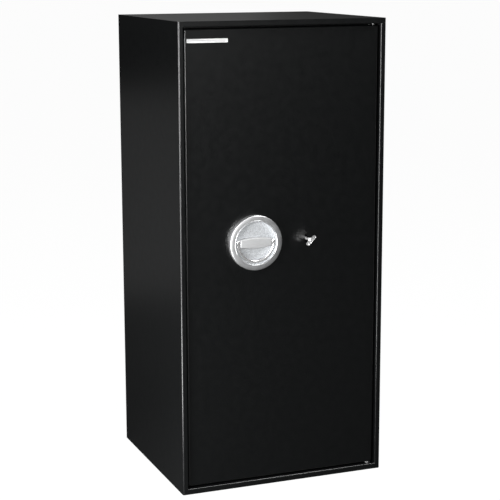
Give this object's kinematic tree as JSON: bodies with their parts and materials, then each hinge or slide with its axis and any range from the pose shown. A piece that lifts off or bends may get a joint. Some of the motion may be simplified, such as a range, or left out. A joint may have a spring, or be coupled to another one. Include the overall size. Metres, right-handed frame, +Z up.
{
  "type": "gun safe",
  "caption": "Upright steel safe for short guns with an inset key-locked door, a round turning handle with a fold-out half ring, live boltwork and shelves.",
  "frame": {"origin": "middle of the base, on the surface the safe stands on", "axes": "+X to the right seen from the front, +Y to the back, +Z up; the door faces -Y"},
  "size_m": [0.466, 0.441, 1],
  "materials": {
    "black_coat": "semi-gloss black powder coat",
    "inner_coat": "light grey powder coat",
    "ring_steel": "satin plated",
    "band_steel": "fine satin plate",
    "cast_steel": "bead-blasted plated casting",
    "polished": "polished plate",
    "bolt_chrome": "ground and plated",
    "zinc_steel": "zinc plated",
    "hard_steel": "hardened, oiled",
    "fill": "cast fire-resisting filling",
    "fire_board": "mineral board",
    "seal": "intumescent strip",
    "mat": "ribbed mat",
    "brass": "turned",
    "plate_metal": "fine brushed"
  },
  "bodies": {
    "cabinet": {"outer_shell": "black_coat", "back_panel": "black_coat", "door_seat_frame": "black_coat", "door_fire_seal": "seal", "inner_liner": "inner_coat", "insulation_sides": "fill", "insulation_back": "fill", "bolt_strike_bars": "hard_steel", "anchor_sleeves": "zinc_steel", "hinge_bushes": "hard_steel", "hinge_thrust_washer": "hard_steel", "shelf_rails": "zinc_steel", "shelf_rail_screws": "zinc_steel", "shelf_clips": "zinc_steel", "lower_shelf": "inner_coat", "upper_shelf": "inner_coat", "shelf_mats": "mat", "floor_mat": "mat"},
    "door": {"door_pan": "black_coat", "hard_plate": "hard_steel", "door_fire_board": "fire_board", "door_back_plate": "inner_coat", "hinge_blocks": "zinc_steel", "hinge_pins": "hard_steel", "boltwork_chassis": "inner_coat", "boltwork_cover": "inner_coat", "cover_screws": "zinc_steel", "hinge_side_dogs": "bolt_chrome", "hinge_dog_nuts": "zinc_steel", "bolt_guide_rings": "brass", "rod_guides": "zinc_steel", "spindle_bush": "brass", "escutcheon_ring": "ring_steel", "escutcheon_studs": "polished", "lock_case": "zinc_steel", "lock_cover": "zinc_steel", "lock_standoffs": "zinc_steel", "lock_screws": "zinc_steel", "lever_pivot_pin": "zinc_steel", "lock_levers": "brass", "lever_springs": "zinc_steel", "keyhole_bush": "black_coat", "door_blank_plate": "plate_metal"},
    "handle": {"handle_dish": "cast_steel", "handle_band": "band_steel", "pull_ring_pins": "polished", "handle_spindle": "zinc_steel", "spindle_retaining_ring": "zinc_steel", "drive_pinion": "hard_steel"},
    "half_ring": {"pull_ring": "polished"},
    "side_bolts": {"left_bolt_rack": "zinc_steel", "left_bolt_bar": "zinc_steel", "left_bolts": "bolt_chrome", "left_bolt_nuts": "zinc_steel"},
    "upper_bolt": {"top_bolt_rod": "zinc_steel", "top_bolt": "bolt_chrome"},
    "lower_bolt": {"bottom_bolt_rod": "zinc_steel", "bottom_bolt": "bolt_chrome"},
    "key": {"key": "polished"},
    "tongue": {"lock_tongue": "zinc_steel"}
  },
  "joints": [
    {"name": "door_swing", "type": "hinge", "parent": "cabinet", "child": "door", "pos_m": [0.21, -0.1915, 0.5], "axis": [0, 0, 1], "range_deg": [0, 95]},
    {"name": "handle_turn", "type": "hinge", "parent": "door", "child": "handle", "pos_m": [-0.0654, -0.1995, 0.537], "axis": [0, 1, 0], "range_deg": [-90, 0]},
    {"name": "half_ring_fold", "type": "hinge", "parent": "handle", "child": "half_ring", "pos_m": [-0.0654, -0.2085, 0.537], "axis": [-1, 0, 0], "range_deg": [0, 90]},
    {"name": "side_bolts_throw", "type": "slide", "parent": "door", "child": "side_bolts", "axis": [-1, 0, 0], "range_m": [0, 0.022]},
    {"name": "upper_bolt_throw", "type": "slide", "parent": "door", "child": "upper_bolt", "axis": [0, 0, 1], "range_m": [0, 0.022]},
    {"name": "lower_bolt_throw", "type": "slide", "parent": "door", "child": "lower_bolt", "axis": [0, 0, -1], "range_m": [0, 0.022]},
    {"name": "key_turn", "type": "hinge", "parent": "door", "child": "key", "pos_m": [0.0536, -0.1995, 0.537], "axis": [0, 1, 0], "range_deg": [-225, 0]},
    {"name": "tongue_throw", "type": "slide", "parent": "door", "child": "tongue", "axis": [-1, 0, 0], "range_m": [0, 0.01]}
  ],
  "couplings": [
    {"joint": "side_bolts_throw", "follows": "handle_turn", "m_per_rad": -0.014},
    {"joint": "upper_bolt_throw", "follows": "handle_turn", "m_per_rad": -0.014},
    {"joint": "lower_bolt_throw", "follows": "handle_turn", "m_per_rad": -0.014},
    {"joint": "key_turn", "follows": "tongue_throw", "rad_per_m": -392.69}
  ]
}
